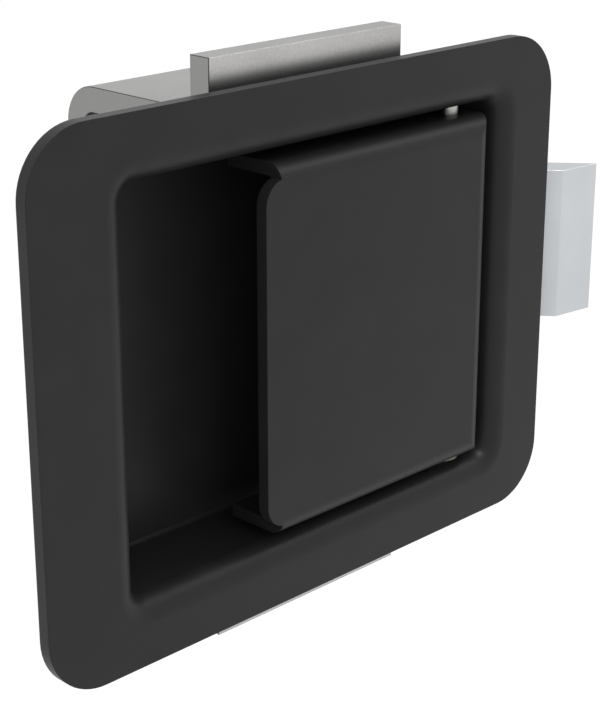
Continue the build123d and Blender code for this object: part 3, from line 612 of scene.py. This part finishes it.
def coil_tree():
    """A round wire wound along X from one turn to another of a spring whose end turns are closed up."""
    tree, given = new_tree(
        "wound spring",
        {
            "Coil Radius": ("Float", 0.003),
            "Wire": ("Float", 0.0009),
            "Turns": ("Float", 12.0),
            "From Turn": ("Float", 0.0),
            "To Turn": ("Float", 12.0),
            "Start": ("Vector", (0.0, 0.0, 0.0)),
            "End Rise": ("Float", 0.0014),
            "Middle Rise": ("Float", 0.003),
            "Points": ("Int", 289),
            "Material": ("Material", None),
        },
    )
    line = add(tree, "GeometryNodeCurvePrimitiveLine")
    fine = add(tree, "GeometryNodeResampleCurve", {"Curve": line, "Count": given["Points"]})
    share = add(tree, "GeometryNodeSplineParameter").outputs["Factor"]
    wound_part = {"Value": share, "To Min": given["From Turn"], "To Max": given["To Turn"]}
    turn = add(tree, "ShaderNodeMapRange", wound_part)
    first = add(tree, "ShaderNodeMath", {0: turn, 1: 1.0}, operation="MINIMUM")
    back = add(tree, "ShaderNodeMath", {0: given["Turns"], 1: 1.0}, operation="SUBTRACT")
    past = add(tree, "ShaderNodeMath", {0: turn, 1: back}, operation="SUBTRACT")
    last = add(tree, "ShaderNodeMath", {0: past, 1: 0.0}, operation="MAXIMUM")
    ends = add(tree, "ShaderNodeMath", {0: first, 1: last}, operation="ADD")
    middle = add(tree, "ShaderNodeMath", {0: turn, 1: ends}, operation="SUBTRACT")
    slow = add(tree, "ShaderNodeMath", {0: ends, 1: given["End Rise"]}, operation="MULTIPLY")
    climb = {0: middle, 1: given["Middle Rise"], 2: slow}
    x = add(tree, "ShaderNodeMath", climb, operation="MULTIPLY_ADD")
    arm = add(tree, "ShaderNodeCombineXYZ", {"X": x, "Y": given["Coil Radius"]})
    angle = add(tree, "ShaderNodeMath", {0: turn, 1: 2 * pi}, operation="MULTIPLY")
    swung = add(tree, "ShaderNodeVectorRotate", {"Vector": arm, "Axis": (1.0, 0.0, 0.0), "Angle": angle})
    target = add(tree, "ShaderNodeVectorMath", {0: swung, 1: given["Start"]}, operation="ADD")
    wound = add(tree, "GeometryNodeSetPosition", {"Geometry": fine, "Position": target})
    half = add(tree, "ShaderNodeMath", {0: given["Wire"], 1: 0.5}, operation="MULTIPLY")
    ring = add(tree, "GeometryNodeCurvePrimitiveCircle", {"Resolution": WIRE_SIDES, "Radius": half})
    sweep = {"Curve": wound, "Profile Curve": ring, "Fill Caps": True}
    wire = add(tree, "GeometryNodeCurveToMesh", sweep)
    close_tree(tree, wire, given["Material"])
    return tree


def bead_tree():
    """A weld bead, straight or in a ring round Y, that swells and sinks with each ripple."""
    tree, given = new_tree(
        "rippled weld bead",
        {
            "From": ("Vector", (0.0, 0.0, 0.0)),
            "To": ("Vector", (0.0, 0.0, 0.01)),
            "Ring": ("Bool", False),
            "Ring Radius": ("Float", 0.0034),
            "Width": ("Float", 0.0017),
            "Ripple": ("Float", 0.00075),
            "Material": ("Material", None),
        },
    )
    line = add(tree, "GeometryNodeCurvePrimitiveLine", {"Start": given["From"], "End": given["To"]})
    round_stud = {"Resolution": 64, "Radius": given["Ring Radius"]}
    circle = add(tree, "GeometryNodeCurvePrimitiveCircle", round_stud)
    stand = {"Geometry": circle, "Translation": given["From"], "Rotation": (pi / 2, 0.0, 0.0)}
    round_y = add(tree, "GeometryNodeTransform", stand)
    path = add(tree, "GeometryNodeSwitch", {0: given["Ring"], 1: line, 2: round_y}, input_type="GEOMETRY")
    # Each ripple has five rings of points. It starts at the full width and narrows to 0.78 of it.
    step = add(tree, "ShaderNodeMath", {0: given["Ripple"], 1: 0.2}, operation="MULTIPLY")
    fine = add(tree, "GeometryNodeResampleCurve", {"Curve": path, "Length": step}, mode="LENGTH")
    place = add(tree, "GeometryNodeSplineParameter").outputs
    ripples = add(tree, "ShaderNodeMath", {0: place["Length"], 1: given["Ripple"]}, operation="DIVIDE")
    ripple = add(tree, "ShaderNodeMath", {0: ripples}, operation="FRACT")
    swell = add(tree, "ShaderNodeMapRange", {"Value": ripple, "To Min": 1.0, "To Max": 0.78})
    # The ends of a straight bead taper over its own width, to 0.35 of it.
    share = add(tree, "ShaderNodeMath", {0: place["Factor"], 1: 0.001}, operation="MAXIMUM")
    whole = add(tree, "ShaderNodeMath", {0: place["Length"], 1: share}, operation="DIVIDE")
    left = add(tree, "ShaderNodeMath", {0: whole, 1: place["Length"]}, operation="SUBTRACT")
    near = add(tree, "ShaderNodeMath", {0: place["Length"], 1: left}, operation="MINIMUM")
    fade = add(tree, "ShaderNodeMapRange", {"Value": near, "From Max": given["Width"], "To Min": 0.35})
    taper = add(tree, "ShaderNodeMath", {0: fade, 1: given["Ring"]}, operation="MAXIMUM")
    size = add(tree, "ShaderNodeMath", {0: swell, 1: taper}, operation="MULTIPLY")
    half = add(tree, "ShaderNodeMath", {0: given["Width"], 1: 0.5}, operation="MULTIPLY")
    ring = add(tree, "GeometryNodeCurvePrimitiveCircle", {"Resolution": BEAD_SIDES, "Radius": half})
    sweep = {"Curve": fine, "Profile Curve": ring, "Scale": size, "Fill Caps": True}
    bead = add(tree, "GeometryNodeCurveToMesh", sweep)
    close_tree(tree, bead, given["Material"])
    return tree


# Operators, one for each group of pieces


class LATCH_OT_coated_sheet(bpy.types.Operator):
    """The pan and the paddle: black powder coat over pressed steel, with the coat's soft edges."""

    bl_idname = "latch.coated_sheet"
    bl_label = "Coated sheet"

    def execute(self, context):
        for node in ("pan", "paddle"):
            wear(node, "black powder coat")
        return {"FINISHED"}


class LATCH_OT_bolt(bpy.types.Operator):
    """The latch bolt: milled bar with blue bright zinc."""

    bl_idname = "latch.bolt"
    bl_label = "Latch bolt"

    def execute(self, context):
        wear("bolt", "blue bright zinc plate")
        return {"FINISHED"}


class LATCH_OT_strap(bpy.types.Operator):
    """The clamp bracket: rolled strap, bent and zinc plated."""

    bl_idname = "latch.strap"
    bl_label = "Clamp bracket"

    def execute(self, context):
        wear("clamp_bracket", "zinc plated rolled strap")
        return {"FINISHED"}


class LATCH_OT_inner_sheet(bpy.types.Operator):
    """Housing, release slide and drive lever: pressed sheet with zinc plate."""

    bl_idname = "latch.inner_sheet"
    bl_label = "Housing, slide and lever"

    def execute(self, context):
        for node in ("bolt_housing", "release_slide", "drive_lever"):
            wear(node, "zinc plated sheet")
        return {"FINISHED"}


class LATCH_OT_studs(bpy.types.Operator):
    """The two clamp studs with their rolled threads and weld rings."""

    bl_idname = "latch.studs"
    bl_label = "Clamp studs"

    def execute(self, context):
        low, high = (Vector(v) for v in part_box("clamp_studs"))
        thread = context.scene.latch_thread
        weld = context.scene.latch_weld
        collar = (high.x - low.x) / 2
        centre_x = (low.x + high.x) / 2
        tree = thread_tree()
        beads = bead_tree()
        # One row more than steps, and one on the axis at each end.
        rows = round((high.y - low.y) / thread.pitch * thread.per_turn) + 3
        for name, z in (("upper", high.z - collar), ("lower", low.z + collar)):
            values = {
                "Radius": collar - weld.step,
                "Pitch": thread.pitch,
                "Depth": thread.depth,
                "Start": low.y,
                "End": high.y,
                "Chamfer": thread.chamfer,
                "Around": thread.around,
                "Rows": rows,
                "Centre": (centre_x, 0.0, z),
                "Material": finish("barrel zinc plate"),
            }
            grown(name + "_stud_thread", tree, values, "frame", "clamp_studs")
            values = {
                "From": (centre_x, low.y + weld.width / 2, z),
                "Ring": True,
                "Ring Radius": collar - weld.width / 2,
                "Width": weld.width,
                "Ripple": weld.ripple,
                "Material": finish("weld bead"),
            }
            grown(name + "_stud_weld", beads, values, "frame", "clamp_studs")
        return {"FINISHED"}


class LATCH_OT_nuts(bpy.types.Operator):
    """Washers and nuts on the studs: barrel plated."""

    bl_idname = "latch.nuts"
    bl_label = "Washers and nuts"

    def execute(self, context):
        wear("clamp_washers", "barrel zinc plate")
        wear("clamp_nuts", "barrel zinc plate")
        return {"FINISHED"}


class LATCH_OT_pins(bpy.types.Operator):
    """Pins, rods, rivets and the spring button: bare turned steel, and the clip of spring steel."""

    bl_idname = "latch.pins"
    bl_label = "Pins, rods and rivets"

    def execute(self, context):
        for node in (
            "hinge_pin", "drive_pin", "spring_rods", "slide_spring_rod", "spring_button",
            "housing_rivets", "guide_rivets",
        ):
            wear(node, "bare turned steel")
        wear("pin_clip", "oil tempered spring wire")
        return {"FINISHED"}


class LATCH_OT_springs(bpy.types.Operator):
    """The three coils. Each bolt spring is made as two halves, one riding on the frame and one on the
    release, since in the latch the slide squeezes one and the bolt the other.
    """

    bl_idname = "latch.springs"
    bl_label = "Springs"

    def execute(self, context):
        coil = context.scene.latch_spring
        tree = coil_tree()
        for node in ("upper_bolt_spring", "lower_bolt_spring", "slide_spring"):
            slide = node == "slide_spring"
            wire = coil.slide_wire if slide else coil.bolt_wire
            turns = coil.slide_turns if slide else coil.bolt_turns
            low, high = (Vector(v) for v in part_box(node))
            # The coil's ends stand out from the wire's middle by the wire's radius along its slope.
            first_x, last_x = low.x + wire / 2, high.x - wire / 2
            rise = wire + coil.end_gap
            values = {
                "Coil Radius": (high.y - low.y - wire) / 2,
                "Wire": wire,
                "Turns": float(turns),
                "Start": (first_x, (low.y + high.y) / 2, (low.z + high.z) / 2),
                "End Rise": rise,
                "Middle Rise": (last_x - first_x - 2 * rise) / (turns - 2),
                "Material": finish("oil tempered spring wire"),
            }
            middle = (first_x + last_x) / 2
            halves = [("", "frame", 0, turns, low.x, high.x, "release_travel")]
            if not slide:
                halves = [
                    ("_fixed_half", "frame", 0, turns / 2, low.x, middle, "release_travel"),
                    ("_bolt_half", "release", turns / 2, turns, middle, high.x, "bolt_travel"),
                ]
            for tail, body, start, end, x0, x1, joint in halves:
                values.update({"From Turn": float(start), "To Turn": float(end)})
                values["Points"] = int(WIRE_POINTS_PER_TURN * (end - start)) + 1
                piece = grown(node + "_coil" + tail, tree, values, body, node)
                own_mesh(piece)
        return {"FINISHED"}


class LATCH_OT_mouldings(bpy.types.Operator):
    """Bolt guides of acetal and bumpers of rubber."""

    bl_idname = "latch.mouldings"
    bl_label = "Guides and bumpers"

    def execute(self, context):
        wear("bolt_guides", "natural acetal")
        wear("paddle_bumpers", "black rubber")
        return {"FINISHED"}


class LATCH_OT_lever_welds(bpy.types.Operator):
    """Beads that hold the drive lever inside the paddle, along its base's free edges."""

    bl_idname = "latch.lever_welds"
    bl_label = "Lever welds"

    def execute(self, context):
        weld = context.scene.latch_weld
        low, high = (Vector(v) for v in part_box("drive_lever"))
        # A bead's middle lies a quarter of its width from the paddle's inside, so a quarter sinks in.
        y = low.y + 0.25 * weld.width
        first_x, last_x = low.x + weld.corner_gap, high.x - weld.hinge_gap
        edges = {
            "left": ((low.x, y, low.z + weld.corner_gap), (low.x, y, high.z - weld.corner_gap)),
            "upper": ((first_x, y, high.z), (last_x, y, high.z)),
            "lower": ((first_x, y, low.z), (last_x, y, low.z)),
        }
        tree = bead_tree()
        for name, (start, end) in edges.items():
            values = {
                "From": start,
                "To": end,
                "Width": weld.width,
                "Ripple": weld.ripple,
                "Material": finish("weld bead"),
            }
            grown(name + "_lever_weld", tree, values, "paddle", None)
        return {"FINISHED"}


class LATCH_OT_stage(bpy.types.Operator):
    """Floor, lamps, background and camera."""

    bl_idname = "latch.stage"
    bl_label = "Stage"

    def execute(self, context):
        stage = context.scene.latch_stage
        reach = stage.floor_reach
        corners = [(-reach, -reach), (reach, -reach), (reach, reach), (-reach, reach)]
        mesh = bpy.data.meshes.new("floor")
        mesh.from_pydata([(x, y, stage.floor_z) for x, y in corners], [], [(0, 1, 2, 3)])
        floor = bpy.data.objects.new("floor", mesh)
        context.scene.collection.objects.link(floor)
        mesh.materials.append(floor_paint(stage.floor_lift))
        # Each lamp's place, width, spread and power, and whether it lights matt surfaces. The top lamp
        # only puts highlights on the coat and the metals.
        lamps = {
            "key_lamp": ((1.0, -0.51, 1.0), 0.3, pi, stage.key, True),
            "top_lamp": ((-0.2, -0.66, 1.24), 0.45, radians(30), stage.top, False),
        }
        for name, (place, size, spread, power, matt) in lamps.items():
            light = bpy.data.lights.new(name, "AREA")
            light.energy = power
            light.shape = "DISK"
            light.size = size
            light.spread = spread
            lamp = bpy.data.objects.new(name, light)
            lamp.location = place
            lamp.rotation_euler = (-Vector(place)).to_track_quat("-Z", "Y").to_euler()
            lamp.visible_diffuse = matt
            context.scene.collection.objects.link(lamp)
        context.scene.world = studio_white(stage.surround)
        context.scene.view_settings.view_transform = "Standard"
        context.scene.camera = photo_camera()
        return {"FINISHED"}


def seen_white(tree):
    """1 for rays that show the background: straight, mirrored or through glass."""
    rays = add(tree, "ShaderNodeLightPath").outputs
    direct = {0: rays["Is Camera Ray"], 1: rays["Is Glossy Ray"]}
    seen = add(tree, "ShaderNodeMath", direct, operation="MAXIMUM")
    return add(tree, "ShaderNodeMath", {0: seen, 1: rays["Is Transmission Ray"]}, operation="MAXIMUM")


def floor_paint(glow_strength):
    """Matt white studio floor, faintly uneven. A glow lifts it to white where it is seen, and it still
    takes a shadow."""
    made = bpy.data.materials.new("matt white floor")
    made.use_nodes = True
    tree = made.node_tree
    tree.nodes.clear()
    tone = two_tones(tree, mottle(tree, (90, 90, 90)), linear("#E6E6E5"), linear("#E2E2E1"))
    paint = add(tree, "ShaderNodeBsdfDiffuse", {"Color": tone})
    lift = add(tree, "ShaderNodeMath", {0: seen_white(tree), 1: glow_strength}, operation="MULTIPLY")
    glow = add(tree, "ShaderNodeEmission", {"Color": (1, 1, 1, 1), "Strength": lift})
    both = add(tree, "ShaderNodeAddShader", {0: paint, 1: glow})
    add(tree, "ShaderNodeOutputMaterial", {"Surface": both})
    return made


def studio_white(strength):
    """A white surround that lights from all sides and shows as plain white."""
    world = bpy.data.worlds.new("studio white")
    world.use_nodes = True
    tree = world.node_tree
    tree.nodes.clear()
    level = add(tree, "ShaderNodeMapRange", {"Value": seen_white(tree), "To Min": strength, "To Max": 1.0})
    back = add(tree, "ShaderNodeBackground", {"Color": (1, 1, 1, 1), "Strength": level})
    add(tree, "ShaderNodeOutputWorld", {"Surface": back})
    return world


def photo_camera():
    """The camera at the photograph's angle, 45 degrees to the left and 20 degrees above. Its place and
    lens come from the vanishing points of the pan's edges."""
    lens = bpy.data.cameras.new("camera")
    lens.lens = 90
    lens.sensor_width = 36
    lens.clip_start = 0.01
    lens.clip_end = 30
    camera = bpy.data.objects.new("camera", lens)
    turn, tilt = radians(45), radians(20)
    place = (-239.317 * MM, -235.52 * MM, 117.842 * MM)
    facing = Matrix.Rotation(-turn, 4, "Z") @ Matrix.Rotation(pi / 2 - tilt, 4, "X")
    camera.matrix_world = Matrix.Translation(place) @ facing
    bpy.context.scene.collection.objects.link(camera)
    return camera


OPERATORS = (
    LATCH_OT_coated_sheet,
    LATCH_OT_bolt,
    LATCH_OT_strap,
    LATCH_OT_inner_sheet,
    LATCH_OT_studs,
    LATCH_OT_nuts,
    LATCH_OT_pins,
    LATCH_OT_springs,
    LATCH_OT_mouldings,
    LATCH_OT_lever_welds,
    LATCH_OT_stage,
)


class LATCH_PT_pieces(bpy.types.Panel):
    """The latch's pieces, one button for each group."""

    bl_idname = "LATCH_PT_pieces"
    bl_label = "Paddle latch"
    bl_space_type = "VIEW_3D"
    bl_region_type = "UI"
    bl_category = "Latch"

    def draw(self, context):
        for operator in OPERATORS:
            self.layout.operator(operator.bl_idname)
        for name, group in SETTINGS:
            column = self.layout.box().column()
            for key in group.__annotations__:
                column.prop(getattr(context.scene, name), key)


def register():
    for name, group in SETTINGS:
        bpy.utils.register_class(group)
        setattr(bpy.types.Scene, name, PointerProperty(type=group))
    for operator in OPERATORS:
        bpy.utils.register_class(operator)
    bpy.utils.register_class(LATCH_PT_pieces)


def unregister():
    bpy.utils.unregister_class(LATCH_PT_pieces)
    for operator in reversed(OPERATORS):
        bpy.utils.unregister_class(operator)
    for name, group in reversed(SETTINGS):
        delattr(bpy.types.Scene, name)
        bpy.utils.unregister_class(group)


def main():
    register()
    for operator in OPERATORS:
        group, name = operator.bl_idname.split(".")
        getattr(getattr(bpy.ops, group), name)()


if __name__ == "__main__":
    main()
